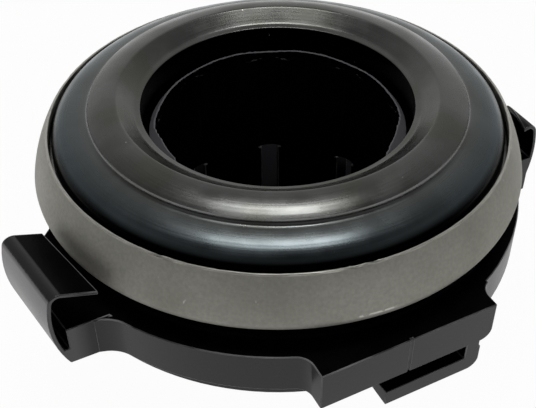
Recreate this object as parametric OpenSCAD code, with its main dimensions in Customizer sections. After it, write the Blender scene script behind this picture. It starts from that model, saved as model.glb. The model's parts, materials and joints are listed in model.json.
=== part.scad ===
// Clutch release bearing: a self-centring angular contact ball bearing in a pressed casing,
// floating on a moulded nylon carrier that slides along the gearbox guide tube.
// Millimetres, +Z towards the clutch, origin on the guide axis at the foot of the sleeve.

/* [Guide sleeve] */
// Diameter of the bore that runs on the guide tube
guide_bore_d = 32; // [28:0.5:40]
// Wall of the sleeve inside the bearing
sleeve_wall = 1.25; // [1.1:0.05:2]
// Wall of the thicker sleeve below the flange
foot_wall = 2.6; // [1.8:0.1:4]
// Length of the sleeve from its foot to its top end
sleeve_l = 27.2; // [24:0.2:28]
// Number of dirt grooves in the bore, each opening into a slot in the foot
groove_count = 8; // [6:1:8]
// Radius of a groove's round bottom
groove_r = 3.0; // [2:0.1:4]
// Depth of a groove
groove_depth = 0.55; // [0.3:0.05:0.7]
// Width of the slot under a groove
slot_w = 2.6; // [1.6:0.1:2.8]
// Lead-in chamfer at the top of the bore
bore_chamfer = 0.35; // [0.2:0.05:0.4]
// Chamfer outside the top of the sleeve
sleeve_chamfer = 0.7; // [0.3:0.05:0.7]

/* [Flange] */
// Height of the flange underside above the foot
flange_z = 11.8; // [10:0.2:13]
// Thickness of the flange
flange_t = 5.8; // [4:0.2:7]
// How far the round front of the flange stands out past the casing
flange_out = 1.0; // [0.4:0.1:2]
// How far the round back of the flange stays inside the casing
flange_in = 0.6; // [0.2:0.1:1.5]
// How far the flange's right side is set in
flange_shift = 1.2; // [0:0.1:2]
// Thickness of the step under the flange
step_t = 2.4; // [1.6:0.1:3]
// Height of the collar round the casing's well
collar_h = 2.7; // [2.7:0.1:4]
// Wall of that collar
collar_wall = 1.9; // [1.4:0.1:2.4]
// Bevel at the foot of the collar
collar_foot = 0.5; // [0.2:0.1:0.8]
// Number of pockets under the flange, in front and again behind
pocket_count = 6; // [4:1:6]
// Width of a pocket
pocket_w = 5.2; // [3:0.1:5.4]
// Length of a pocket, outwards from the sleeve
pocket_l = 9; // [6:0.5:10]
// Depth of a pocket
pocket_depth = 4.5; // [2:0.1:5.2]

/* [Fork pad] */
// Width of the flat pad at the front
pad_w = 24.1; // [20:0.1:28]
// How far the middle of the pad lies left of the axis
pad_left = 0.4; // [0:0.05:2]
// How far the pad stands out past the casing
pad_out = 2.0; // [1.6:0.1:4]
// Radius of the hollow corners beside the pad
pad_fillet_r = 2.2; // [1.6:0.1:4]
// Radius of the pad's lower right corner
pad_corner_r = 1.6; // [1:0.1:3]
// Width and depth of the mould's parting groove down the middle of the pad
parting_w = 0.25; // [0.1:0.05:0.5]
// Height of the slot that takes the fork's spring clip
clip_slot_h = 2.3; // [1.8:0.1:3]
// Height of the finger that closes the slot below
finger_h = 2.4; // [2:0.1:3.4]
// Depth of the finger, front to back
finger_depth = 3.3; // [1.6:0.1:3.6]
// Fall of the finger's top towards the back
finger_fall = 0.5; // [0.2:0.1:1.5]
// Length of the finger, from its outer corner to its free end
finger_l = 13.65; // [10:0.05:18]
// Width of the post that carries the finger
finger_post_w = 2.25; // [1.2:0.05:3]
// How far the post stands in from the pad's right end
finger_inset = 1.35; // [1:0.05:4]

/* [Hooks] */
// How far the left hook stands out past the casing
hook_out_left = 4.6; // [4:0.1:6]
// How far the right hook stands out past the casing
hook_out_right = 0.6; // [0.6:0.1:6]
// Height of a hook's arm above the flange
hook_h = 5.9; // [5.4:0.1:7]
// Wall of a hook
hook_wall = 0.5; // [0.4:0.05:0.7]
// Radius of the bend at the top of a hook
hook_bend_r = 1.4; // [1.2:0.1:2]
// Radius of the outward bow of a hook's wall
hook_bow_r = 16; // [12:1:30]
// Height above the flange at which that wall is widest
hook_belly_h = 1.2; // [0.4:0.1:2]
// Fall of the arm towards the casing, in degrees
arm_slope = 19; // [10:1:22]
// Gap between the left hook and the lobe that carries it
gap_left = 1.35; // [1:0.05:1.6]
// Gap between the right hook and the lobe that carries it
gap_right = 0; // [0:0.05:1.6]
// Depth of such a gap below the top of the flange
hook_gap_depth = 3.3; // [2.6:0.1:4]
// How far a lobe runs on behind its hook, tapering into the flange
gusset_l = 6; // [2:0.5:8]
// Near end of the left hook, measured in front of the axis
near_left = 15.2; // [13:0.1:17]
// Length of the left hook
length_left = 12.4; // [8:0.1:14]
// How far the left hook's wall turns outwards towards its far end, in degrees
splay_left = 9.5; // [0:0.5:12]
// Near end of the right hook, measured in front of the axis
near_right = 14.2; // [13:0.1:17]
// Length of the right hook
length_right = 6.6; // [4:0.1:7]
// How far the right hook's wall turns outwards towards its far end, in degrees
splay_right = 0; // [0:0.5:12]
// Radius of the hollow corner between a lobe and the flange
lobe_fillet_r = 4.5; // [3:0.1:6]

/* [Bearing] */
// Radial gap between the sleeve and the thrust ring
float_gap = 0.85; // [0.7:0.05:1.2]
// Wall of the thrust ring's neck behind the balls
neck_wall = 4.0; // [2.5:0.1:5]
// Diameter of a ball
ball_d = 6; // [5:0.1:6.4]
// Number of balls
ball_count = 16; // [12:1:16]
// Running clearance round the balls
run_clear = 0.3; // [0.2:0.05:0.4]
// Wall of the cage
cage_wall = 1.6; // [1.2:0.1:2]
// Height of the cage
cage_h = 5.0; // [4:0.1:5.4]
// Height of the cage's foot ring
cage_foot_h = 1.2; // [0.8:0.1:1.6]

/* [Casing] */
// Radial distance from the outer raceway to the outside of the casing
casing_wall = 4.3; // [4:0.1:6]
// Thickness of the casing sheet
sheet_t = 0.8; // [0.6:0.05:1]
// Height of the casing from its shoulder to its rim
casing_h = 7.65; // [7.5:0.05:9]
// How far the rim leans in from the widest place
rim_lean = 2.3; // [1.8:0.1:2.5]
// Thickness of the rim's edge
rim_t = 0.3; // [0.2:0.05:0.5]
// Height of the bevel that thins the rim from inside
rim_bevel = 1.2; // [0.6:0.1:1.4]
// Radius of the barrel curve of the casing's wall
barrel_r = 18; // [14:1:40]
// Outside radius of the casing's lower corner
corner_r = 1.5; // [1.1:0.1:2]

/* [Thrust ring] */
// Height of the crest above the casing rim
crest_h = 3.55; // [3:0.05:5]
// Distance of the crest from the bore
crest_in = 3.05; // [2.4:0.05:4]
// Drop from the crest to the bore edge
bore_drop = 1.55; // [1:0.05:2]
// Distance of the shelf from the bore
shelf_in = 7.0; // [6.2:0.1:7.6]
// Drop from the crest to the shelf
shelf_drop = 1.8; // [1.4:0.05:2]
// Width of the shelf
shelf_w = 0.3; // [0.2:0.1:1.2]
// Gap between the ring's edge and the casing rim
rim_gap = 0.4; // [0.35:0.05:0.8]
// Depth of the ring's widest place below the casing rim
rim_drop = 1.1; // [0.8:0.05:1.2]

/* [Seals and spring] */
// Thickness of the rubber seals
seal_t = 0.45; // [0.3:0.05:0.5]
// Height of the dust lip under the thrust ring
lip_h = 1.3; // [0.8:0.1:1.4]
// Thickness of the wave spring's strip
spring_t = 0.35; // [0.25:0.05:0.45]
// Height of the wave spring as fitted
spring_h = 0.9; // [0.7:0.05:1]
// Number of waves
spring_waves = 5; // [3:1:8]
// Width of the strip
spring_w = 2.4; // [1.6:0.1:2.8]
// Thickness of the retaining washer
washer_t = 0.6; // [0.5:0.05:0.7]
// Number of tongues that grip the sleeve
washer_tongues = 10; // [6:1:14]

/* [Hidden] */
$fn = 96;
eps = 0.01;
arc_steps = 10;
slide_clear = 0.05;
seat_clear = 0.25;
lip_clear = 0.35;
collar_lap = 0.1;
floor_lip = 2.2;
step_out = 0.2;
rib_w = 2;
race_taper = 1;
race_rise = 0.38;
neck_drop = 0.55;
dome_clear = 0.35;

// Radii, from the guide bore outwards
bore_r = guide_bore_d / 2;
sleeve_r = bore_r + sleeve_wall;
foot_r = bore_r + foot_wall;
ring_bore_r = sleeve_r + float_gap;
neck_r = ring_bore_r + neck_wall;
ball_r = ball_d / 2;
track_r = ball_r + run_clear;
pitch_r = neck_r + track_r;
casing_r = pitch_r + track_r + casing_wall;
rim_r = casing_r - rim_lean;
dome_r = rim_r - rim_t - rim_gap;
race_out = casing_r - corner_r - slide_clear;
collar_r = casing_r - flange_in - corner_r + collar_lap;
well_r = collar_r - collar_wall - float_gap - seat_clear;
floor_r = sleeve_r + float_gap + floor_lip;
flange_r = casing_r + flange_out;
flange_back_r = casing_r - flange_in;
step_r = flange_back_r + step_out;
pad_y = casing_r + pad_out;
pad_left_end = pad_w / 2 + pad_left;
pad_right_end = pad_w / 2 - pad_left;
reach_left = casing_r + hook_out_left;
reach_right = casing_r + hook_out_right;

// Heights, from the foot upwards
flange_top = flange_z + flange_t;
floor_z = flange_top + slide_clear;
shoulder_z = floor_z + collar_h;
seat_z = shoulder_z + sheet_t;
ball_z = seat_z + track_r;
rim_z = shoulder_z + casing_h;
crest_z = rim_z + crest_h;
race_top = ball_z + race_rise * ball_r;
neck_z = seat_z - neck_drop;
under_z = ball_z + ball_r + dome_clear;
spring_z = floor_z + sheet_t + slide_clear;
washer_z = spring_z + spring_h + slide_clear;
hook_top = flange_top + hook_h;

BALLS = [for (i = [1 : ball_count]) str("ball_", i < 10 ? "0" : "", i)];

// Points along a circle arc, from one angle to another
function arc(centre, r, from, to, steps = arc_steps) =
    [for (i = [0 : steps]) let (a = from + (to - from) * i / steps) centre + r * [cos(a), sin(a)]];

// Centre of the circle of radius r through p and q, on the side of the axis
function chord_centre(p, q, r) =
    let (d = q - p, half = norm(d) / 2)
    (p + q) / 2 + sqrt(r * r - half * half) * [d[1], -d[0]] / norm(d);

function angle_of(p, centre) = atan2(p[1] - centre[1], p[0] - centre[0]);

// Where a hook's lobe ends, inside the hook's wall and gap
function lobe_end(reach, gap) = reach - hook_wall - gap;

module revolve(points) { rotate_extrude() polygon(points); }

// The round track that the balls roll in, cut from both rings
module ball_track() { translate([0, 0, ball_z]) rotate_extrude() translate([pitch_r, 0]) circle(track_r); }

// A hollow corner between the round flange and a straight edge of something that stands out from it.
// The edge runs along y = -edge for x beyond the corner.
module hollow_corner(edge, r) {
    reach = flange_r + r;
    c = [sqrt(reach * reach - (edge + r) * (edge + r)), -edge - r];
    touch = c * flange_r / reach;
    difference() {
        polygon([c, [c[0], -edge + eps], touch * 0.9, touch]);
        translate(c) circle(r + eps);
    }
}

// The flange seen from above. A round set to the left trims its right side, from a few degrees
// beside the front onwards.
module flange_outline() {
    shift_from = 10;
    circle(flange_back_r);
    intersection() {
        circle(flange_r);
        translate([-flange_shift, 0]) circle(flange_r + flange_shift * sin(shift_from));
        translate([-flange_r, -2 * flange_r]) square([2 * flange_r, 2 * flange_r - near_right + eps]);
    }
    translate([-pad_left_end, -pad_y]) square([pad_w, pad_y - near_left - lobe_fillet_r]);
    mirror([1, 1, 0]) hollow_corner(pad_right_end, pad_fillet_r);
    mirror([1, 0, 0]) mirror([1, 1, 0]) hollow_corner(pad_left_end, pad_fillet_r);
    lobe(lobe_end(reach_right, gap_right), near_right, length_right, splay_right);
    mirror([1, 0, 0]) {
        hollow_corner(near_left, lobe_fillet_r);
        lobe(lobe_end(reach_left, gap_left), near_left, length_left, splay_left);
    }
}

// The lobe of the flange that carries a hook, with a gusset behind it
module lobe(end, near, length, splay) {
    far = length - near;
    gusset_end = [flange_back_r - seat_clear, far + gusset_l];
    polygon([[0, -near], [end, -near], [end + length * tan(splay), far], gusset_end, [0, gusset_end[1]]]);
}

// A C-shaped hook on the right-hand side, open towards the casing. Its wall may turn outwards
// towards the far end, and its arm ends on a flat face that clears the casing wherever it floats.
module hook(reach, near, length, splay, gap) {
    middle = atan2(near - length / 2, reach);
    overrun = hook_h;
    intersection() {
        translate([0, -near, 0]) cube([2 * reach, length, 2 * hook_top]);
        difference() {
            translate([reach, -near, 0]) rotate(-splay) translate([-reach, length + overrun, 0])
                rotate([90, 0, 0]) linear_extrude(length + 2 * overrun) hook_section(reach, gap);
            rotate(-middle) translate([0, -casing_r, flange_top])
                cube([casing_r + float_gap, 2 * casing_r, 2 * hook_h]);
        }
    }
}

// Section of a hook: a bowed wall, the bend above it, the sloping arm, and the web below the gap
module hook_section(reach, gap) {
    web_lap = 1.5;
    bow = [reach - hook_bow_r, flange_top + hook_belly_h];
    rise = asin((hook_top - hook_bend_r - bow[1]) / (hook_bow_r - hook_bend_r));
    bend = bow + (hook_bow_r - hook_bend_r) * [cos(rise), sin(rise)];
    arm_l = reach - casing_r + 3 * hook_bend_r;
    web_in = lobe_end(reach, gap) - web_lap;
    outer = hook_line(bow, rise, bend, arm_l, 0);
    inner = hook_line(bow, rise, bend, arm_l, hook_wall);
    polygon(concat(outer, [for (i = [len(inner) - 1 : -1 : 0]) inner[i]]));
    intersection() {
        translate(bow) circle(hook_bow_r - hook_wall / 2);
        translate([web_in, flange_z]) square([reach - web_in, flange_t - hook_gap_depth]);
    }
}

// Points along a hook's section at some depth under its outer face, from the foot of the wall to
// the end of the arm
function hook_line(bow, rise, bend, arm_l, depth) =
    let (r = hook_bow_r - depth, top = 90 + arm_slope, first = rise + (top - rise) / arc_steps,
         end = bend - arm_l * [cos(arm_slope), sin(arm_slope)])
    concat(arc(bow, r, asin((flange_z - bow[1]) / r), rise),
           arc(bend, hook_bend_r - depth, first, top),
           [end + (hook_bend_r - depth) * [cos(top), sin(top)]]);

// The finger under the pad: a post on the right and a bar that ends free on the left
module clip_finger() {
    right = pad_right_end - finger_inset;
    bottom = flange_z - clip_slot_h - finger_h;
    left = right - finger_l;
    back = finger_depth - pad_y;
    difference() {
        union() {
            translate([left, 0, 0]) rotate([90, 0, 90]) linear_extrude(finger_l)
                polygon([[-pad_y, bottom], [back, bottom], [back, bottom + finger_h - finger_fall],
                         [-pad_y, bottom + finger_h]]);
            translate([right - finger_post_w, -pad_y, bottom])
                cube([finger_post_w, finger_depth, finger_h + clip_slot_h + eps]);
        }
        lower_corner(right, bottom, pad_corner_r);
    }
}

// Rounds a lower right corner, seen from the front
module lower_corner(x, z, r) {
    difference() {
        translate([x - r, -2 * pad_y, z - 1]) cube([r + 1, 2 * pad_y, r + 1]);
        translate([x - r, 1, z + r]) rotate([90, 0, 0]) cylinder(h = 2 * pad_y + 2, r = r);
    }
}

// Pockets between ribs, under the front and the back of the flange, clear of the fork's two seats
module pockets() {
    pitch = 17;
    inner = foot_r + rib_w;
    for (side = [-90, 90], i = [0 : pocket_count - 1])
        rotate(side + pitch * (i - (pocket_count - 1) / 2))
            translate([inner, -pocket_w / 2, flange_z - step_t - 1])
                cube([pocket_l, pocket_w, pocket_depth + 1]);
}

module carrier() {
    groove_angle = 180 / groove_count;
    slot_h = flange_z - step_t;
    collar_in = collar_r - collar_wall;
    color("#1b1c1e") difference() {
        union() {
            revolve([[0, 0], [sleeve_r, 0], [sleeve_r, sleeve_l - sleeve_chamfer],
                     [sleeve_r - sleeve_chamfer, sleeve_l], [0, sleeve_l]]);
            cylinder(h = flange_top, r = foot_r);
            translate([0, 0, flange_z]) linear_extrude(flange_t) flange_outline();
            difference() {
                translate([0, 0, slot_h]) cylinder(h = step_t + eps, r = step_r);
                translate([-pad_w, -2 * pad_y, slot_h - 1])
                    cube([2 * pad_w, pad_y + finger_depth + seat_clear, step_t + 1]);
            }
            translate([0, 0, flange_top - eps])
                revolve([[collar_in, 0], [collar_r + collar_foot, 0], [collar_r, collar_foot],
                         [collar_r, collar_h - slide_clear], [collar_in, collar_h - slide_clear]]);
            hook(reach_right, near_right, length_right, splay_right, gap_right);
            mirror([1, 0, 0]) hook(reach_left, near_left, length_left, splay_left, gap_left);
            clip_finger();
        }
        pockets();
        translate([-pad_left - parting_w / 2, -pad_y - 1, flange_z - 1])
            cube([parting_w, parting_w + 1, flange_t + 2]);
        translate([0, 0, -1]) cylinder(h = sleeve_l + 2, r = bore_r);
        translate([0, 0, sleeve_l - bore_chamfer + eps])
            cylinder(h = bore_chamfer, r1 = bore_r, r2 = bore_r + bore_chamfer);
        for (i = [0 : groove_count - 1]) rotate(groove_angle * (2 * i + 1)) {
            translate([bore_r + groove_depth - groove_r, 0, slot_h]) cylinder(h = sleeve_l, r = groove_r);
            translate([0, -slot_w / 2, -1]) cube([foot_r + 1, slot_w, slot_h + 1]);
        }
        intersection() {
            lower_corner(pad_right_end, flange_z, pad_corner_r);
            translate([0, -2 * pad_y, 0]) cube([pad_y, 2 * pad_y - flange_r + 1, flange_top]);
        }
    }
}

// A flat ring whose tongues, parted by slits, grip the sleeve
module retaining_washer() {
    rim_w = 0.6;
    slit_w = 1.2;
    slit_l = 2;
    color("#8d8f8c") difference() {
        translate([0, 0, washer_z]) cylinder(h = washer_t, r = floor_r + spring_w + rim_w);
        translate([0, 0, washer_z - 1]) cylinder(h = washer_t + 2, r = sleeve_r + slide_clear);
        for (i = [0 : washer_tongues - 1]) rotate(360 * i / washer_tongues)
            translate([0, -slit_w / 2, washer_z - 1]) cube([sleeve_r + slit_l, slit_w, washer_t + 2]);
    }
}

// A flat strip bent into waves, swept round the axis
module wave_spring() {
    steps_per_wave = 24;
    steps = steps_per_wave * spring_waves;
    swing = (spring_h - spring_t) / 2;
    inner = floor_r + lip_clear;
    section = [[inner, 0], [inner + spring_w, 0], [inner + spring_w, spring_t], [inner, spring_t]];
    points = [for (i = [0 : steps - 1], p = section)
        let (a = 360 * i / steps)
        [p[0] * cos(a), p[0] * sin(a), spring_z + swing * (1 + sin(a * spring_waves)) + p[1]]];
    faces = [for (i = [0 : steps - 1], k = [0 : 3])
        let (next = (i + 1) % steps, j = (k + 1) % 4)
        [4 * i + k, 4 * i + j, 4 * next + j, 4 * next + k]];
    color("#6f7274") polyhedron(points, faces, convexity = 4);
}

// Pressed from one sheet: barrel wall, rounded corner, shoulder, well and floor
module casing() {
    low = [casing_r, shoulder_z + corner_r];
    rim = [rim_r, rim_z];
    c = chord_centre(rim, low, barrel_r);
    bend = [casing_r - corner_r, low[1]];
    well = well_r - sheet_t;
    inside_r = barrel_r - sheet_t;
    corner_from = -9;
    corner_steps = 6;
    color("#85857e") revolve(concat(
        arc(c, barrel_r, angle_of(rim, c), angle_of(low, c)),
        arc(bend, corner_r, corner_from, -90, corner_steps),
        [[well_r, shoulder_z], [well_r, floor_z], [floor_r, floor_z], [floor_r, floor_z + sheet_t],
         [well, floor_z + sheet_t], [well, seat_z]],
        arc(bend, corner_r - sheet_t, -90, corner_from, corner_steps),
        arc(c, inside_r, angle_of(low, c), asin((rim_z - rim_bevel - c[1]) / inside_r)),
        [[rim_r - rim_t, rim_z]]));
}

// Outer ring of the bearing: its track carries the balls from below and outside
module outer_race() {
    lip_r = pitch_r + 1.1;
    lip_rise = 0.4;
    track_out = pitch_r + track_r;
    color("#b9bab6") difference() {
        revolve([[lip_r, seat_z], [race_out, seat_z], [race_out, seat_z + corner_r],
                 [race_out - race_taper, race_top], [track_out, race_top], [track_out, ball_z],
                 [lip_r, ball_z - track_r + lip_rise]]);
        ball_track();
    }
}

// Lower seal, held under the outer race, with its inner edge beside the neck
module grease_seal() {
    taper = 0.5;
    inner = neck_r + lip_clear;
    outer = well_r - sheet_t - slide_clear;
    top = seat_z - slide_clear;
    color("#141415") revolve([[inner, top - seal_t], [outer, top - seal_t], [outer, top],
                              [inner + taper, top], [inner, top - seal_t / 2]]);
}

// Upper seal, bedded on the outer race, with a lip that stands inside the thrust ring's skirt
module dust_seal() {
    lip = pitch_r + track_r - lip_clear / 2;
    lip_root = 0.3;
    lip_tip = 0.25;
    bed_out = race_out - race_taper - lip_clear;
    bed_top = race_top + seal_t;
    lip_top = race_top + lip_h;
    color("#141415") revolve([[lip, race_top], [bed_out, race_top], [bed_out, bed_top],
                              [lip + lip_root, bed_top], [lip + lip_tip, lip_top], [lip, lip_top]]);
}

module ball(i) {
    rotate(360 * (i - 1) / ball_count) translate([pitch_r, 0, ball_z]) color("#cfd2d4") sphere(ball_r);
}

// One-piece crown: a foot ring inside and below the balls, with a pocketed wall that stands on it
module ball_cage() {
    pocket_clear = run_clear / 2;
    foot_z = ball_z - ball_r;
    wall = pitch_r + cage_wall / 2;
    color("#c9b98c") difference() {
        revolve([[neck_r + lip_clear, foot_z], [pitch_r, foot_z], [wall, ball_z - cage_h / 2],
                 [wall, ball_z + cage_h / 2], [wall - cage_wall, ball_z + cage_h / 2],
                 [wall - cage_wall, foot_z + cage_foot_h], [neck_r + lip_clear, foot_z + cage_foot_h]]);
        for (i = [1 : ball_count]) rotate(360 * (i - 1) / ball_count)
            translate([pitch_r, 0, ball_z]) sphere(ball_r + pocket_clear);
    }
}

// Inner ring of the bearing, with the domed face that the clutch fingers press on: a flare out of
// the bore, the crest, a first shoulder that falls to a shelf, and a second shoulder down to the rim
module thrust_ring() {
    crest_r = ring_bore_r + crest_in;
    shelf_r = ring_bore_r + shelf_in;
    edge_round = 0.5;
    flare_from = 108;
    flare_steps = 5;
    flare_bow = 1.4;
    shoulder_bow = 1.7;
    shoulder_fall = 0.58;
    edge_bow = 1.1;
    groove_w = 0.4;
    hip_drop = 0.1;
    skirt = 0.4;
    bevel = [0.6, 0.05];
    under_in = 1.1;
    throat = [0.9, 1];
    bore_edge = [ring_bore_r + edge_round, crest_z - bore_drop - edge_round];
    flare = bore_edge + edge_round * [cos(flare_from), sin(flare_from)];
    hip = shelf_r + shelf_w;
    hip_z = crest_z - shelf_drop - hip_drop;
    edge_z = rim_z - rim_drop;
    skirt_z = edge_z - skirt;
    color("#2a2d30") difference() {
        revolve(concat(
            [[ring_bore_r, neck_z]],
            arc(bore_edge, edge_round, 180, flare_from, flare_steps),
            [for (i = [1 : arc_steps]) let (t = i / arc_steps)
                [flare[0] + (crest_r - flare[0]) * t, flare[1] + (crest_z - flare[1]) * pow(t, flare_bow)]],
            [for (i = [1 : arc_steps]) let (t = i / arc_steps)
                [crest_r + (shelf_r - groove_w - crest_r) * t,
                 crest_z - shoulder_fall * shelf_drop * pow(t, shoulder_bow)]],
            [[shelf_r, crest_z - shelf_drop]],
            [for (i = [0 : arc_steps]) let (a = 90 - 90 * i / arc_steps)
                [hip + (dome_r - hip) * pow(cos(a), edge_bow),
                 edge_z + (hip_z - edge_z) * pow(sin(a), edge_bow)]],
            [[dome_r, skirt_z], [dome_r - bevel[0], skirt_z - bevel[1]], [dome_r - under_in, under_z],
             [pitch_r - throat[0], under_z], [neck_r, ball_z + throat[1]], [neck_r, neck_z]]));
        ball_track();
    }
}

carrier();
retaining_washer();
wave_spring();
casing();
outer_race();
grease_seal();
dust_seal();
ball_cage();
thrust_ring();
for (i = [1 : ball_count]) ball(i);
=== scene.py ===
# %% [markdown]
# A clutch release bearing pushes on the fingers of a car's clutch. A moulded carrier slides along a
# tube, a ball bearing in a pressed steel casing floats on it, and a domed ring turns with the clutch.
# The solids of the part come in finished and stay where they are. This lesson gives them the
# surfaces that the eye sees: rounded edges, tool marks, scratches, burrs and the right light.

# %% Load the solids
import json
import math

import bpy
from mathutils import Matrix, Vector

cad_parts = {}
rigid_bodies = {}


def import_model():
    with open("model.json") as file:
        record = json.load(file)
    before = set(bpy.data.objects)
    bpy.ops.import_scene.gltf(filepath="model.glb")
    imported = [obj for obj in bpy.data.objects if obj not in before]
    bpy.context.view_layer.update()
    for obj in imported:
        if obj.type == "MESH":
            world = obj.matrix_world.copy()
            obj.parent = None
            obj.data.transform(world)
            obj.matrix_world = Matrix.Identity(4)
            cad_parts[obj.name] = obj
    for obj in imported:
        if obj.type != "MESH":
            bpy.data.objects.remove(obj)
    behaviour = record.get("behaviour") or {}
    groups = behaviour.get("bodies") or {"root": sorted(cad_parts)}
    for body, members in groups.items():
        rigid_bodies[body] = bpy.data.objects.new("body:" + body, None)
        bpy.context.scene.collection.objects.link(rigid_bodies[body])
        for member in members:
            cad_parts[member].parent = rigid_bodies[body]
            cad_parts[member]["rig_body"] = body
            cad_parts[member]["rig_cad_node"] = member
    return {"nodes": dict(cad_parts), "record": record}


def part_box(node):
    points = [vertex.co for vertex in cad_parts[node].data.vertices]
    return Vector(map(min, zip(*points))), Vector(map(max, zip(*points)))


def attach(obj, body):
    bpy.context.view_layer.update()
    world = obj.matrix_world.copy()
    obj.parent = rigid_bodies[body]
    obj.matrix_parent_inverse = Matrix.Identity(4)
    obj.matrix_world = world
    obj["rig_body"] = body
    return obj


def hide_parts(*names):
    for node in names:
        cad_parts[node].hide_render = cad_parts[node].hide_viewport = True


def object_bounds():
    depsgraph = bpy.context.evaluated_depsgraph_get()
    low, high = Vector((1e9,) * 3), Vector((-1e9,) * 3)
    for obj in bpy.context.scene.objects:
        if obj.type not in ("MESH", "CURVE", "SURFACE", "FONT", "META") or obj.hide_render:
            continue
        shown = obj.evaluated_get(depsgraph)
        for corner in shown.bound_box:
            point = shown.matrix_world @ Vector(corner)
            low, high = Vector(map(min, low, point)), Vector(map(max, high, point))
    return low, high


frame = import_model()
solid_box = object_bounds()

MM = 0.001


def in_mm(node):
    return [[c / MM for c in corner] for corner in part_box(node)]


box_mm = [[round(c / MM, 2) for c in corner] for corner in solid_box]
print("solids:", len(frame["nodes"]), "box in mm:", box_mm)

# %% [markdown]
# The camera stands where the photographer stood: to the left of the flat pad and well above the rim.
# A lens length and a place can be guessed and nudged, but here they come from the circles of the part,
# which look like ellipses. Their shapes give the height, the distance and the lens all at once.

# %% Camera
camera_place = Vector((-46.70, -91.65, 100.93)) * MM
camera_target = Vector((-1.29, 0.66, 11.16)) * MM
camera_roll = math.radians(-0.83)
photo_width = 536
focal_length_px = 938.7

bpy.ops.object.select_all(action="DESELECT")
bpy.ops.object.camera_add(location=camera_place)
camera = bpy.context.active_object
aim = (camera_place - camera_target).to_track_quat("Z", "Y").to_matrix()
camera.rotation_euler = (aim @ Matrix.Rotation(camera_roll, 3, "Z")).to_euler()
camera.data.lens = focal_length_px / photo_width * camera.data.sensor_width
camera.data.clip_start = 5 * MM
bpy.context.scene.camera = camera
bpy.context.scene.view_settings.view_transform = "Standard"
print("lens in mm:", round(camera.data.lens, 2))

# %% [markdown]
# Materials are built from nodes. One small function adds a node, sets its properties and fills its
# inputs, either with a plain value or with a link from another node. A second one turns the hex
# colours that people read off a screen into the linear light that a renderer works in. A pattern's
# scale is the number of repeats in a metre, so a third one works it out from a size in millimetres.

# %% Helpers for materials
def linear(hex_colour):
    channels = [int(hex_colour[i:i + 2], 16) / 255 for i in (1, 3, 5)]
    return [c / 12.92 if c <= 0.04045 else ((c + 0.055) / 1.055) ** 2.4 for c in channels] + [1]


def add_node(tree, kind, inputs, **settings):
    node = tree.nodes.new(kind)
    for name, value in settings.items():
        setattr(node, name, value)
    for name, value in inputs.items():
        if isinstance(value, bpy.types.NodeSocket):
            tree.links.new(value, node.inputs[name])
        else:
            node.inputs[name].default_value = value
    return node.outputs


def repeats(size_mm):
    return 1 / (size_mm * MM)


def new_finish(name, **values):
    material = bpy.data.materials.new(name)
    material.use_nodes = True
    shader = material.node_tree.nodes["Principled BSDF"]
    for socket, value in values.items():
        shader.inputs[socket.replace("_", " ")].default_value = value
    return material, material.node_tree, shader.inputs


# %% [markdown]
# Most of the patterns below ask one of three questions about a point of the surface: how far it is
# from the axis, how high it is, and what a cloud of noise says there. The noise fades in between two
# limits, so that a wide gap between the limits gives clouds and a narrow one gives sharp specks.

# %% Helpers for patterns
def place_of(tree):
    return add_node(tree, "ShaderNodeTexCoord", {})["Object"]


def radius_of(tree, place):
    flat = add_node(tree, "ShaderNodeVectorMath", {0: place, 1: (1, 1, 0)}, operation="MULTIPLY")["Vector"]
    return add_node(tree, "ShaderNodeVectorMath", {0: flat}, operation="LENGTH")["Value"]


def fade(tree, value, low, high, out=(0, 1)):
    return add_node(tree, "ShaderNodeMapRange", {0: value, 1: low, 2: high, 3: out[0], 4: out[1]})["Result"]


def cloud(tree, place, size_mm, low, high, detail=3, out=(0, 1)):
    inputs = {"Vector": place, "Scale": repeats(size_mm), "Detail": detail}
    return fade(tree, add_node(tree, "ShaderNodeTexNoise", inputs)["Fac"], low, high, out)


def blend(tree, share, first, second):
    return add_node(tree, "ShaderNodeMix", {0: share, 6: first, 7: second}, data_type="RGBA")[2]


def combine(tree, operation, first, second):
    return add_node(tree, "ShaderNodeMath", {0: first, 1: second}, operation=operation)[0]


def window(tree, value, low, high):
    above = combine(tree, "GREATER_THAN", value, low)
    return combine(tree, "MULTIPLY", above, combine(tree, "LESS_THAN", value, high))


def relief(tree, skin, height, depth_mm, strength):
    inputs = {"Height": height, "Strength": strength, "Distance": depth_mm * MM}
    tree.links.new(add_node(tree, "ShaderNodeBump", inputs)["Normal"], skin["Normal"])
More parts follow.
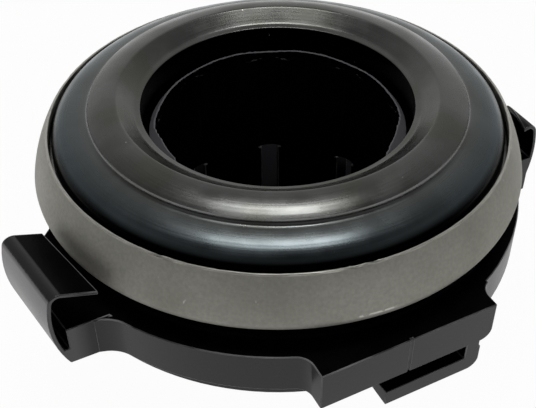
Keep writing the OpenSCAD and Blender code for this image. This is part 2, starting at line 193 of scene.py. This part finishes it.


# %% [markdown]
# The dome is turned steel that was blackened in a hot bath and oiled. The skin is a dark mirror, grey
# near the crest and bluer towards the rim, and the lathe left fine rings under it. The rings are noise
# that only depends on the distance from the axis, so they close on themselves with no seam. The bore
# and the skirt are painted near black, as painted shade where the bore wall and the casing's rim keep
# the light off them. A few specks of dust stick in the oil.

# %% Black oxide on turned steel
def black_oxide_steel():
    # Oiled black oxide: dark face on, with bright streaky bands where it mirrors a lamp
    material, tree, skin = new_finish("black_oxide_steel", Metallic=1.0)
    place = place_of(tree)
    radius = radius_of(tree, place)
    grey = blend(tree, cloud(tree, place, 7, 0.4, 0.62, detail=5), linear("#727371"), linear("#656560"))
    blue = blend(tree, cloud(tree, place, 9, 0.4, 0.62, detail=5), linear("#616a6e"), linear("#575f62"))
    blue_from, blue_to = 24.5 * MM, 28.5 * MM
    skirt_shade_from, skirt_shade_to = 28.9 * MM, 29.6 * MM
    bore_shade_from, bore_shade_to = 18.16 * MM, 18.11 * MM
    tint = blend(tree, fade(tree, radius, blue_from, blue_to), grey, blue)
    # The skirt and the bore wall are painted near black: painted shade, not a different finish.
    skirt = fade(tree, radius, skirt_shade_from, skirt_shade_to)
    bore = fade(tree, radius, bore_shade_from, bore_shade_to)
    tint = blend(tree, combine(tree, "MAXIMUM", skirt, bore), tint, linear("#060606"))
    speck = add_node(tree, "ShaderNodeTexVoronoi", {"Vector": place, "Scale": repeats(2.4)})
    near = combine(tree, "LESS_THAN", speck["Distance"], 0.06)
    draw = add_node(tree, "ShaderNodeSeparateColor", {0: speck["Color"]})[0]
    few = combine(tree, "GREATER_THAN", draw, 0.9)
    dust = combine(tree, "MULTIPLY", near, few)
    tree.links.new(blend(tree, dust, tint, linear("#b5b1a4")), skin["Base Color"])
    rings = add_node(tree, "ShaderNodeTexNoise", {"W": radius, "Scale": repeats(0.35), "Detail": 4},
                     noise_dimensions="1D")["Fac"]
    gloss = combine(tree, "MULTIPLY", cloud(tree, place, 5, 0.3, 0.7, detail=5), rings)
    tree.links.new(fade(tree, gloss, 0.05, 0.5, out=(0.22, 0.34)), skin["Roughness"])
    relief(tree, skin, combine(tree, "ADD", rings, dust), 0.02, 0.3)
    return material


# %% [markdown]
# The casing is pressed from bright sheet and then tumbled, so it is a soft warm grey. Fine lines run
# round it from the press tool. Its sheared rim is painted brighter, partly as wear and partly as a
# painted highlight along the edge, and one place low on the front is brighter where the part once
# scraped along something. Nicks are thin streaks of stretched noise, kept only where the noise is highest.

# %% Satin pressed steel
def pressed_steel(rim_top):
    # Tumbled sheet steel: an even silky grey that blurs what it mirrors, under a thin bright rim that is
    # partly wear and partly painted highlight
    material, tree, skin = new_finish("satin_pressed_steel", Metallic=0.6)
    place = place_of(tree)
    spot = add_node(tree, "ShaderNodeSeparateXYZ", {0: place})
    stain = cloud(tree, place, 12, 0.35, 0.7, detail=5)
    tone = blend(tree, stain, linear("#c0beb5"), linear("#adaca2"))
    grit = cloud(tree, place, 0.45, 0.3, 0.7)
    tone = blend(tree, fade(tree, grit, 0, 1, out=(0, 0.35)), tone, linear("#908f87"))
    slanted = add_node(tree, "ShaderNodeMapping", {"Vector": place, "Rotation": (0.5, 0.4, 0.9),
                                                   "Scale": (1, 1, 0.22)})["Vector"]
    nick = cloud(tree, slanted, 0.5, 0.77, 0.83, detail=1)
    turn = combine(tree, "ARCTAN2", spot["Y"], spot["X"])
    scrape_from, scrape_to = math.radians(-101), math.radians(-93)
    scrape_low, scrape_high = 21.8 * MM, 22.05 * MM
    scrape = combine(tree, "MULTIPLY", window(tree, turn, scrape_from, scrape_to),
                     window(tree, spot["Z"], scrape_low, scrape_high))
    scrape = combine(tree, "MULTIPLY", scrape, cloud(tree, place, 0.6, 0.42, 0.5))
    # The rim's brighter colour is partly wear and partly a painted highlight along the edge.
    wear_and_painted_light = fade(tree, spot["Z"], (rim_top - 0.55) * MM, (rim_top - 0.45) * MM)
    bright = combine(tree, "MAXIMUM", wear_and_painted_light, combine(tree, "MAXIMUM", scrape, nick))
    tree.links.new(blend(tree, bright, tone, linear("#d2d0c8")), skin["Base Color"])
    dull = fade(tree, stain, 0, 1, out=(0.62, 0.68))
    polish = combine(tree, "MULTIPLY", bright, 0.3)
    tree.links.new(combine(tree, "SUBTRACT", dull, polish), skin["Roughness"])
    lines = add_node(tree, "ShaderNodeTexNoise", {"W": spot["Z"], "Scale": repeats(0.25), "Detail": 3},
                     noise_dimensions="1D")["Fac"]
    relief(tree, skin, combine(tree, "SUBTRACT", combine(tree, "ADD", lines, grit), bright), 0.02, 0.4)
    return material


# %% [markdown]
# The steels inside the bearing are ground or polished, and so brighter and smoother. Faint stains
# change their gloss from place to place, and the grinding left fine grit marks.

# %% Ground and polished steel
def ground_steel(name, face, shade, rough):
    # Ground steel: a clear cold mirror with a faint grain
    material, tree, skin = new_finish(name, Metallic=1.0)
    place = place_of(tree)
    stain = cloud(tree, place, 6, 0.35, 0.7, detail=5)
    tree.links.new(blend(tree, stain, linear(face), linear(shade)), skin["Base Color"])
    tree.links.new(fade(tree, stain, 0, 1, out=(rough, rough + 0.08)), skin["Roughness"])
    relief(tree, skin, cloud(tree, place, 0.35, 0, 1), 0.01, 0.3)
    return material


# %% [markdown]
# The carrier is nylon filled with glass fibre, moulded in a steel tool. It is black all through, and
# its skin has a fine grain where the tool was spark eroded. The sleeve and the collar inside stay dead
# black, while the outside slid along the tool when the part came out and has a sheen. The fork's clip
# rubbed the long hook smoother still. The up-facing end of the sleeve is painted grey: painted light
# where the lamp falls on it.

# %% Glass-filled nylon
def glass_filled_nylon(sleeve_end):
    # Black nylon: no light on top, a soft grey sheen on the sides that face the bright floor, and painted
    # light grey on the sleeve's up-facing end
    material, tree, skin = new_finish("glass_filled_nylon", IOR=1.5)
    place = place_of(tree)
    flow = cloud(tree, place, 7, 0.4, 0.7, detail=4)
    tone = blend(tree, flow, linear("#050506"), linear("#0b0b0d"))
    spot = add_node(tree, "ShaderNodeSeparateXYZ", {0: place})
    height = spot["Z"]
    ragged = combine(tree, "ADD", height, cloud(tree, place, 1.5, 0.3, 0.7, out=(-0.25 * MM, 0.25 * MM)))
    # The up-facing end of the sleeve is painted grey: painted light where the lamp falls on it.
    wear_and_painted_light = fade(tree, ragged, (sleeve_end - 1.7) * MM, (sleeve_end - 1.3) * MM)
    facing = add_node(tree, "ShaderNodeSeparateXYZ", {0: add_node(tree, "ShaderNodeTexCoord", {})["Normal"]})
    upward = facing["Z"]
    wear_and_painted_light = combine(tree, "MULTIPLY", wear_and_painted_light, fade(tree, upward, 0.2, 0.5))
    tree.links.new(blend(tree, wear_and_painted_light, tone, linear("#7a7a7e")), skin["Base Color"])
    above_flange, flange_tops = 18.6 * MM, 18 * MM
    outside_r, inside_r = 31.7 * MM, 31.4 * MM
    hook_from, hook_to = -33 * MM, -35 * MM
    low_down = fade(tree, height, above_flange, flange_tops)
    top = combine(tree, "MULTIPLY", fade(tree, upward, 0.88, 0.94), low_down)
    arm = combine(tree, "MULTIPLY", fade(tree, upward, 0.6, 0.7), fade(tree, facing["X"], 0.1, 0.3))
    matte = combine(tree, "MAXIMUM", top, arm)
    matte = combine(tree, "MAXIMUM", matte, fade(tree, radius_of(tree, place), outside_r, inside_r))
    worn = fade(tree, spot["X"], hook_from, hook_to, out=(0.4, 0.9))
    shine = combine(tree, "MULTIPLY", worn, fade(tree, matte, 0, 1, out=(1, 0.05)))
    tree.links.new(shine, skin["Specular IOR Level"])
    tree.links.new(fade(tree, flow, 0, 1, out=(0.22, 0.3)), skin["Roughness"])
    relief(tree, skin, cloud(tree, place, 0.35, 0, 1), 0.03, 0.4)
    return material


# %% [markdown]
# Seals, cage and the carrier's rounded edges need a plainer moulded skin: two tones in soft clouds, a
# gloss that changes with them, and a fine grain. On the rounded edges the light grey is partly wear and
# partly a painted highlight.

# %% Plain moulded skin
def moulded(name, face, flow, grain_mm, rough_low, rough_high, depth_mm):
    # Moulded skin: a soft tone whose gloss drifts from place to place
    material, tree, skin = new_finish(name, IOR=1.5)
    place = place_of(tree)
    share = cloud(tree, place, 7, 0.4, 0.7, detail=4)
    tree.links.new(blend(tree, share, linear(face), linear(flow)), skin["Base Color"])
    tree.links.new(fade(tree, share, 0, 1, out=(rough_low, rough_high)), skin["Roughness"])
    relief(tree, skin, cloud(tree, place, grain_mm, 0, 1), depth_mm, 0.4)
    return material


# %% [markdown]
# Every solid names the finish it wants in the part's record. One table joins those names to the
# finishes above, so that the solids inside the bearing are dressed too, though few of them show.

# %% Make the finishes
rim_z = in_mm("casing")[1][2]
sleeve_end = in_mm("carrier")[1][2]
finishes = {
    "carrier_nylon": glass_filled_nylon(sleeve_end),
    "casing_steel": pressed_steel(rim_z),
    "black_oxide_steel": black_oxide_steel(),
    "race_steel": ground_steel("ground_bearing_steel", "#a3a39e", "#8f8f8a", 0.24),
    "ball_steel": ground_steel("polished_ball_steel", "#c4c5c6", "#b4b5b6", 0.08),
    "cage_nylon": moulded("natural_nylon", "#cbbd92", "#bfae80", 0.5, 0.4, 0.5, 0.02),
    "seal_rubber": moulded("nitrile_rubber", "#0a0a0b", "#121212", 0.3, 0.55, 0.7, 0.04),
    "spring_steel": ground_steel("hardened_spring_steel", "#5b5d60", "#4a4c50", 0.3),
}
# Light grey skin for the carrier's rounded edges: partly wear, partly a painted highlight along them.
edge_wear_and_painted_highlight = moulded("nylon_edge_wear_and_painted_highlight", "#3c3c40", "#a2a2a6", 0.3, 0.26, 0.34, 0.01)
for row in frame["record"]["subparts"]:
    for slot in frame["nodes"][row["node"]].material_slots:
        slot.material = finishes[row["material_slot"]]
print("finishes:", sorted(finishes))

# %% [markdown]
# Round steel parts are turned on a lathe, and the spin tool does the same: an outline is drawn point by
# point with extrude, then swept round the axis. A fine sweep with smooth shading gives the long clean
# highlights that a coarse solid can't. The outlines keep within a few tenths of a millimetre of the solids.

# %% Lathe
sweep_steps = 256
merge_gap = 0.002 * MM


def arc(centre, radii, start, end, count):
    angles = [math.radians(start + (end - start) * i / count) for i in range(count + 1)]
    return [(centre[0] + radii[0] * math.cos(a), centre[1] + radii[1] * math.sin(a)) for a in angles]


def turned(name, outline, smooth_angle=30):
    bpy.ops.object.select_all(action="DESELECT")
    bpy.ops.mesh.primitive_plane_add(size=MM)
    piece = bpy.context.active_object
    piece.name = piece.data.name = name
    bpy.ops.object.mode_set(mode="EDIT")
    bpy.ops.mesh.select_mode(type="VERT")
    bpy.ops.mesh.merge(type="CENTER")
    bpy.ops.transform.translate(value=(outline[0][0] * MM, 0, outline[0][1] * MM))
    for here, there in zip(outline, outline[1:] + outline[:1]):
        step = ((there[0] - here[0]) * MM, 0, (there[1] - here[1]) * MM)
        bpy.ops.mesh.extrude_vertices_move(TRANSFORM_OT_translate={"value": step})
    bpy.ops.mesh.select_all(action="SELECT")
    bpy.ops.mesh.remove_doubles(threshold=merge_gap)
    bpy.ops.mesh.spin(steps=sweep_steps, angle=math.tau, center=(0, 0, 0), axis=(0, 0, 1))
    bpy.ops.mesh.select_all(action="SELECT")
    bpy.ops.mesh.remove_doubles(threshold=merge_gap)
    bpy.ops.mesh.normals_make_consistent(inside=False)
    bpy.ops.object.mode_set(mode="OBJECT")
    bpy.ops.object.shade_smooth_by_angle(angle=math.radians(smooth_angle))
    print(name, "has", len(piece.data.polygons), "faces")
    return piece


def dress(piece, body, slot, *nodes):
    # Gives a piece its finish, the body that it moves with and the solids that it stands for
    piece.data.materials.clear()
    piece.data.materials.append(finishes[slot])
    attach(piece, body)
    if nodes:
        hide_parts(*nodes)


# %% [markdown]
# The dome's outline starts at the bore, flares up to the crest, falls over a first shoulder into a
# narrow step, and rolls over a second shoulder to the edge inside the casing's rim. Where the lathe
# tool changed its path, at the crest and at the step, a small curve takes the place of the corner and
# draws a thin bright line.

# %% Outline of the dome
ring_low, ring_high = in_mm("thrust_ring")
ball_low, ball_high = in_mm("ball_01")
dome_r = ring_high[0]
crest_z = ring_high[2]
neck_z = ring_low[2]
ball_z = (ball_low[2] + ball_high[2]) / 2
pitch_r = (ball_low[0] + ball_high[0]) / 2
ball_r = (ball_high[2] - ball_low[2]) / 2
track_r = ball_r + 0.3
neck_r = pitch_r - track_r
ring_bore_r = neck_r - 4.0
crest_r = ring_bore_r + 3.05
shelf_r = ring_bore_r + 7.0
shelf_z = crest_z - 1.8
hip_r = shelf_r + 0.3
hip_z = shelf_z + 0.08
edge_z = rim_z - 1.1
under_z = ball_z + ball_r + 0.35


def bowed(start, end, bow, count):
    steps = [i / count for i in range(count + 1)]
    return [(start[0] + (end[0] - start[0]) * t, start[1] + (end[1] - start[1]) * t ** bow) for t in steps]


def eased(before, corner, after, count=6):
    # A small curve between two points, in place of the corner where their lines meet
    ends = list(zip(before, corner, after))
    steps = [i / count for i in range(1, count)]
    return [tuple((1 - t) ** 2 * b + 2 * t * (1 - t) * c + t * t * a for b, c, a in ends) for t in steps]


bore_edge = 0.2
bore_round = arc((ring_bore_r + bore_edge, crest_z - 1.95), (bore_edge, bore_edge), 180, 108, 8)
knee = (ring_bore_r + 0.8, crest_z - 1.62)
land = bowed(bore_round[-1], knee, 1, 5)[1:4]
cone = bowed(knee, (crest_r, crest_z), 1, 20)[2:-1]
flare = land + eased(land[-1], knee, cone[0], 12) + cone
shoulder = bowed((crest_r, crest_z), (shelf_r - 0.25, crest_z - 1.02), 2.0, 32)[2:]
roll_w = dome_r - hip_r
roll_lead = 0.14
roll_share = ((hip_z - edge_z) / roll_w - roll_lead) * 0.75
roll = []
for x in [1 - (1 - i / 36) ** 2 for i in range(37)]:
    fall = roll_lead * x + roll_share * (4 - 2 * (x + 2) * math.sqrt(1 - x)) / 3
    roll.append((hip_r + roll_w * x, hip_z - roll_w * fall))
print("crest at r", round(crest_r, 2), "z", round(crest_z, 2), "- step at r", round(shelf_r, 2))

# %% [markdown]
# The parts of the outline are joined in order, from the bore over the top and back underneath along
# the ball track, and the lathe sweeps them round.

# %% Domed thrust ring
dome = bore_round + flare + eased(flare[-1], (crest_r, crest_z), shoulder[0]) + shoulder
dome += eased(shoulder[-1], (shelf_r - 0.12, shelf_z + 0.22), (hip_r, hip_z), 8)
track_end = pitch_r - 0.9
skirt = [(dome_r, edge_z - 0.4), (dome_r - 0.6, edge_z - 0.45), (dome_r - 1.1, under_z), (track_end, under_z)]
dome += roll + skirt
track = [p for p in arc((pitch_r, ball_z), (track_r, track_r), 120, 240, 20) if p[0] < track_end]
dome += [p for p in track if p[1] > neck_z] + [(neck_r, neck_z), (ring_bore_r, neck_z)]
thrust_dome = turned("thrust_dome", dome)
dress(thrust_dome, "thrust", "black_oxide_steel", "thrust_ring")

# %% [markdown]
# The casing's outline follows the sheet: a barrel wall that leans in to a thin rim, a rounded corner, a
# shoulder and a well that the carrier's collar fits round. The thin rim is rounded over.

# %% Pressed casing
casing_low, casing_high = in_mm("casing")
casing_r = casing_high[0]
floor_z = casing_low[2]
shoulder_z = rim_z - 7.65
sheet = 0.8
corner = 1.5
barrel = 18
rim_half = 0.15
thinned = 1.2
well_r = 28.0
well_in = well_r - sheet
floor_in = in_mm("retaining_washer")[1][0] - 3.0
rim_top = rim_z - 0.35
rim_point = Vector((casing_r - 2.3, rim_top))
low_point = Vector((casing_r, shoulder_z + corner))
chord = low_point - rim_point
inward = Vector((chord.y, -chord.x)).normalized()
barrel_centre = (rim_point + low_point) / 2 + inward * math.sqrt(barrel ** 2 - (chord.length / 2) ** 2)
top_angle = math.degrees(math.asin((rim_top - rim_half - barrel_centre.y) / barrel))
low_angle = math.degrees(math.asin((low_point.y - barrel_centre.y) / barrel))
thin_angle = math.degrees(math.asin((rim_top - thinned - barrel_centre.y) / (barrel - sheet)))
corner_centre = (casing_r - corner, low_point.y)

shell = arc((rim_point.x - rim_half, rim_top - rim_half), (rim_half, rim_half), 180, 0, 8)
shell += arc(barrel_centre, (barrel, barrel), top_angle, low_angle, 24)
shell += arc(corner_centre, (corner, corner), -9, -90, 10)
shell += [(well_r, shoulder_z), (well_r, floor_z), (floor_in, floor_z), (floor_in, floor_z + sheet),
          (well_in, floor_z + sheet), (well_in, shoulder_z + sheet)]
shell += arc(corner_centre, (corner - sheet, corner - sheet), -90, -9, 6)
shell += arc(barrel_centre, (barrel - sheet, barrel - sheet), low_angle, thin_angle, 12)
casing_shell = turned("casing_shell", shell, smooth_angle=40)

# %% [markdown]
# The rim was sheared, so its edge is a little ragged. Its points are selected by their place, and random
# moves of a few hundredths of a millimetre are enough to break the bright line. Two short stretches
# with larger moves stand for burrs.

# %% Ragged rim
def pick(piece, chosen):
    # Leaves the piece in edit mode, with only the chosen points selected
    bpy.ops.object.select_all(action="DESELECT")
    piece.select_set(True)
    bpy.context.view_layer.objects.active = piece
    bpy.ops.object.mode_set(mode="EDIT")
    bpy.ops.mesh.select_mode(type="VERT")
    bpy.ops.mesh.select_all(action="DESELECT")
    bpy.ops.object.mode_set(mode="OBJECT")
    for vertex in piece.data.vertices:
        vertex.select = chosen(vertex.co / MM)
    bpy.ops.object.mode_set(mode="EDIT")


def roughen(piece, chosen, offset_mm, seed):
    pick(piece, chosen)
    bpy.ops.transform.vertex_random(offset=offset_mm * MM, uniform=0.3, seed=seed)
    bpy.ops.object.mode_set(mode="OBJECT")


rim_band = 0.2
rim_inside_r = 29


def on_rim(p, low=-180, high=180):
    turn = math.degrees(math.atan2(p.y, p.x))
    return p.z > rim_top - rim_band and p.xy.length > rim_inside_r and low <= turn <= high


roughen(casing_shell, on_rim, 0.035, 4)
roughen(casing_shell, lambda p: on_rim(p, -105, -95), 0.1, 5)
roughen(casing_shell, lambda p: on_rim(p, -144, -140), 0.14, 6)
dress(casing_shell, "bearing", "casing_steel", "casing")

# %% [markdown]
# The carrier has no turned shape, so it starts as a copy of its solid. Points that coincide are merged,
# and flat areas become single faces.

# %% Copy of the carrier
def copy_of(node, name):
    bpy.ops.object.select_all(action="DESELECT")
    solid = frame["nodes"][node]
    solid.select_set(True)
    bpy.context.view_layer.objects.active = solid
    bpy.ops.object.duplicate()
    piece = bpy.context.active_object
    piece.name = piece.data.name = name
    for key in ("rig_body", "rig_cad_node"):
        del piece[key]
    bpy.ops.object.mode_set(mode="EDIT")
    bpy.ops.mesh.select_all(action="SELECT")
    bpy.ops.mesh.remove_doubles(threshold=0.03 * MM)
    bpy.ops.mesh.dissolve_limited(angle_limit=math.radians(0.8))
    bpy.ops.object.mode_set(mode="OBJECT")
    return piece


carrier_moulding = copy_of("carrier", "carrier_moulding")
dress(carrier_moulding, "carrier", "carrier_nylon", "carrier")
carrier_moulding.data.materials.append(edge_wear_and_painted_highlight)
print("copied carrier has", len(carrier_moulding.data.polygons), "faces")

# %% [markdown]
# A mould leaves every sharp edge a little rounded. The rounded edges get a lighter grey skin, partly
# wear and partly a painted highlight. A bevel could do all edges at once, but the end of the sleeve has
# faces too narrow for it, so edges up there are left out. Weighted normals keep the flat faces flat in the
# light.

# %% Rounded edges
edge_width = 0.14
bpy.ops.object.mode_set(mode="EDIT")
bpy.ops.mesh.select_mode(type="EDGE")
bpy.ops.mesh.select_all(action="DESELECT")
bpy.ops.mesh.edges_select_sharp(sharpness=math.radians(60))
bpy.ops.object.mode_set(mode="OBJECT")
corners = carrier_moulding.data.vertices
for edge in carrier_moulding.data.edges:
    if min(corners[i].co.z for i in edge.vertices) > (sleeve_end - 1.5) * MM:
        edge.select = False
for face in carrier_moulding.data.polygons:
    face.select = False
bpy.ops.object.mode_set(mode="EDIT")
bpy.ops.mesh.bevel(offset=edge_width * MM, segments=2, affect="EDGES", clamp_overlap=False, material=1)
bpy.ops.object.mode_set(mode="OBJECT")
bpy.ops.object.shade_smooth_by_angle(angle=math.radians(35))
weighted = carrier_moulding.modifiers.new("flat_faces", "WEIGHTED_NORMAL")
weighted.keep_sharp = True
bpy.ops.object.modifier_apply(modifier="flat_faces")
print("carrier_moulding has", len(carrier_moulding.data.polygons), "faces")

# %% [markdown]
# The end of the sleeve is turned afresh, because it is seen close up inside the bore. The copy is cut
# back a little to make room for it. The whole wall slopes off outwards, and eight dirt grooves bite into
# the slope. Three ever narrower selections press the grooves out, each scaled away from the axis and
# lowered a little more, and small random moves leave the edge as uneven as a worn one.

# %% Worn end of the sleeve
rim_out, rim_in = 17.27, 15.98
end_band, end_reach = 0.9, 17.5
cut_back = 1.5
rim_foot = sleeve_end - 2.4
slope_foot = sleeve_end - 1.4
worn_from = sleeve_end - 0.7
groove_step = 45
groove_reach = 17
groove_half_widths = (13, 9, 5)
groove_press = 1.009
groove_drop = 0.16


def in_groove(p, half_width):
    from_middle = math.degrees(math.atan2(p.y, p.x)) % groove_step - groove_step / 2
    return p.xy.length < groove_reach and abs(from_middle) < half_width


pick(carrier_moulding, lambda p: p.z > sleeve_end - end_band and p.xy.length < end_reach)
bpy.ops.transform.translate(value=(0, 0, -cut_back * MM))
bpy.ops.object.mode_set(mode="OBJECT")
sleeve_rim = turned("sleeve_rim", [(rim_out, rim_foot), (rim_out, slope_foot), (rim_in + 0.18, sleeve_end),
                                   (rim_in, sleeve_end - 0.1), (rim_in, rim_foot)])
for half_width in groove_half_widths:
    pick(sleeve_rim, lambda p: in_groove(p, half_width))
    bpy.ops.transform.resize(value=(groove_press, groove_press, 1), center_override=(0, 0, 0))
    bpy.ops.transform.translate(value=(0, 0, -groove_drop * MM))
    bpy.ops.object.mode_set(mode="OBJECT")
roughen(sleeve_rim, lambda p: p.z > worn_from, 0.04, 9)
dress(sleeve_rim, "carrier", "carrier_nylon")

# %% [markdown]
# The stage is a sheet of white paper. Seen by the camera, or in a reflection, nearly all of its white
# comes from the paper itself, so the picture's background is clean, but only a trace of the part's own
# shadow is left. So the paper is painted dark right under the part, a painted shadow where no light gets
# in, and its glow in reflections is turned down close by, as painted shade.

# %% Paper floor
def paper_floor():
    # Matte white paper: no gloss, a dark patch that stands for the shadow under the part, and painted shade
    # that dims its glow in reflections close to the part
    material, tree, skin = new_finish("white_paper", Roughness=0.95)
    rays = add_node(tree, "ShaderNodeLightPath", {})
    seen = combine(tree, "MAXIMUM", rays["Is Camera Ray"], rays["Is Transmission Ray"])
    place = place_of(tree)
    patch_middle = (4 * MM, 8 * MM, 0)
    patch_r, patch_end = 20 * MM, 25 * MM
    bore_r, bore_end = 16.2 * MM, 17.2 * MM
    dim_r, dim_end = 38 * MM, 68 * MM
    span = add_node(tree, "ShaderNodeVectorMath", {0: place, 1: patch_middle}, operation="DISTANCE")["Value"]
    inside = fade(tree, radius_of(tree, place), bore_r, bore_end)
    outside_painted_shadow = combine(tree, "MINIMUM", inside, fade(tree, span, patch_r, patch_end))
    # Painted shade: the paper's glow in reflections is dimmed close to the part.
    reflected_painted_shade = fade(tree, span, dim_r, dim_end, out=(0.45, 1))
    mirrored = combine(tree, "MULTIPLY", rays["Is Glossy Ray"], reflected_painted_shade)
    seen = combine(tree, "MAXIMUM", seen, mirrored)
    tree.links.new(blend(tree, outside_painted_shadow, linear("#15141f"), linear("#f4f4f2")), skin["Base Color"])
    share = combine(tree, "MULTIPLY", combine(tree, "MULTIPLY", seen, outside_painted_shadow), 0.97)
    white = add_node(tree, "ShaderNodeEmission", {"Color": (1, 1, 1, 1), "Strength": 1})["Emission"]
    lit = tree.nodes["Principled BSDF"].outputs["BSDF"]
    mix = add_node(tree, "ShaderNodeMixShader", {0: share, 1: lit, 2: white})["Shader"]
    tree.links.new(mix, tree.nodes["Material Output"].inputs["Surface"])
    return material


bpy.ops.object.select_all(action="DESELECT")
bpy.ops.mesh.primitive_plane_add(size=6, location=(0, 0, solid_box[0].z - 0.02 * MM))
floor = bpy.context.active_object
floor.name = "paper_floor"
floor.data.materials.append(paper_floor())
print("floor at", round(floor.location.z / MM, 2), "mm")

# %% [markdown]
# The room is dark above and bright low down, like a table with white paper curved up behind it. The
# glow is strongest at the back, where it draws the grey sheen on the far side of the dome and lights
# the ends of the casing's band, and a faint one in front keeps the step of the dome from going black.
# One softbox hangs above and a little behind the part, and makes the two bright bands on the dome.

# %% Room and lamp
room = bpy.data.worlds.new("studio_room")
bpy.context.scene.world = room
room.use_nodes = True
air = room.node_tree
sky = add_node(air, "ShaderNodeTexCoord", {})["Generated"]
rise = add_node(air, "ShaderNodeSeparateXYZ", {0: sky})["Z"]
to_the_back = (0.454, 0.891, 0)
behind = add_node(air, "ShaderNodeVectorMath", {0: sky, 1: to_the_back}, operation="DOT_PRODUCT")["Value"]
round_about = combine(air, "POWER", fade(air, behind, -0.5, 0.9), 1.5)
glow = combine(air, "MULTIPLY", round_about, fade(air, rise, 0.3, 0.9, out=(0.6, 0.42)))
front = combine(air, "MULTIPLY", fade(air, rise, 0.25, 0.5, out=(0, 0.2)), fade(air, rise, 0.9, 0.7))
glow = combine(air, "MAXIMUM", glow, front)
air.links.new(glow, air.nodes["Background"].inputs["Strength"])
air.nodes["Background"].inputs["Color"].default_value = (1, 1, 1, 1)


def softbox(name, direction, distance, size, watts):
    bpy.ops.object.select_all(action="DESELECT")
    place = Vector(direction).normalized() * distance
    bpy.ops.object.light_add(type="AREA", location=place)
    lamp = bpy.context.active_object
    lamp.name = name
    lamp.rotation_euler = place.to_track_quat("Z", "Y").to_euler()
    lamp.data.shape = "RECTANGLE"
    lamp.data.size, lamp.data.size_y = size
    lamp.data.energy = watts
    print(name, "gives", watts, "W")


softbox("top_softbox", (0.02, 0.04, 0.999), 0.6, (0.3, 0.14), 0.84)
